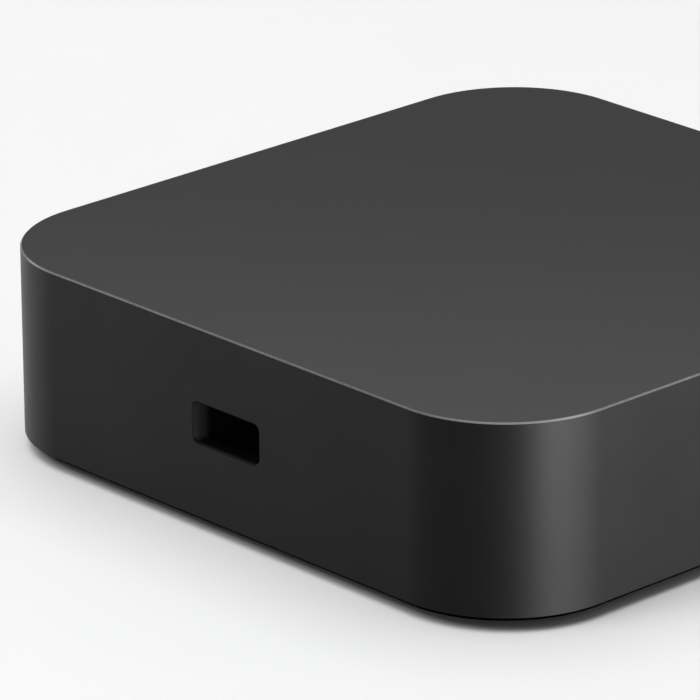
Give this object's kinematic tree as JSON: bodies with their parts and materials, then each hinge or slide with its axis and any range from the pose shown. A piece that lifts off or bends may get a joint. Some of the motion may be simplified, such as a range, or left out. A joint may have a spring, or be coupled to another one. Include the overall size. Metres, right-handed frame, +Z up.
{
  "type": "streaming media player",
  "caption": "Low square aluminium puck with rounded corners that plays streamed video, with rear video and power sockets, a pairing button and a lock slot in its left side.",
  "frame": {"origin": "on the surface that the player stands on, under the centre of its square body", "axes": "+Z up; -Y towards the plain front side, +Y towards the sockets at the rear; -X towards the side with the lock slot"},
  "size_m": [0.058, 0.058, 0.0161],
  "materials": {
    "shell_anodised": "fine bead-blasted, dark grey anodised",
    "base_plastic": "fine spark-eroded grain",
    "foot_rubber": "matt",
    "screw_steel": "zinc plated",
    "board_mask": "green solder mask on glass-epoxy",
    "chip_mould": "moulded epoxy",
    "shield_tin": "tin plated sheet",
    "pad_silicone": "matt silicone",
    "block_aluminium": "milled, clear",
    "antenna_copper": "copper foil",
    "lead_jacket": "smooth jacket",
    "coil_ferrite": "pressed ferrite",
    "capacitor_can": "drawn can",
    "crystal_can": "nickel plated",
    "passive_body": "fired ceramic",
    "port_steel": "nickel plated sheet",
    "port_plastic": "moulded",
    "contact_gold": "gold plated",
    "button_plastic": "fine grain",
    "plunger_plastic": "moulded",
    "switch_steel": "plain sheet cover",
    "led_body": "clear resin on white",
    "pipe_clear": "frosted clear resin",
    "plate_steel": "black oxide",
    "pocket_plastic": "moulded black"
  },
  "bodies": {
    "housing": {"top_shell": "shell_anodised", "base_cover": "base_plastic", "foot_ring": "foot_rubber", "base_screws": "screw_steel", "main_board": "board_mask", "board_screws": "screw_steel", "soc_chip": "chip_mould", "memory_chips": "chip_mould", "flash_chip": "chip_mould", "shield_frame": "shield_tin", "shield_lid": "shield_tin", "soc_pad": "pad_silicone", "block_pad": "pad_silicone", "heat_block": "block_aluminium", "block_screws": "screw_steel", "ceiling_pad": "pad_silicone", "wifi_module": "shield_tin", "antenna_right": "antenna_copper", "antenna_left": "antenna_copper", "aerial_lead_right": "lead_jacket", "aerial_lead_left": "lead_jacket", "power_chip": "chip_mould", "power_coils": "coil_ferrite", "power_capacitors": "capacitor_can", "clock_crystal": "crystal_can", "board_passives": "passive_body", "video_port_shell": "port_steel", "video_port_insulator": "port_plastic", "video_port_contacts": "contact_gold", "power_port_shell": "port_steel", "power_port_tongue": "port_plastic", "power_port_contacts": "contact_gold", "switch_body": "switch_steel", "status_led": "led_body", "light_pipe": "pipe_clear", "lock_plate": "plate_steel", "lock_pocket": "pocket_plastic"},
    "button": {"pairing_button": "button_plastic", "switch_plunger": "plunger_plastic"}
  },
  "joints": [
    {"name": "button_press", "type": "slide", "parent": "housing", "child": "button", "axis": [0, -1, 0], "range_m": [0, 0.0004], "stiffness_N_per_m": 2500, "springref_m": -0.00025}
  ]
}
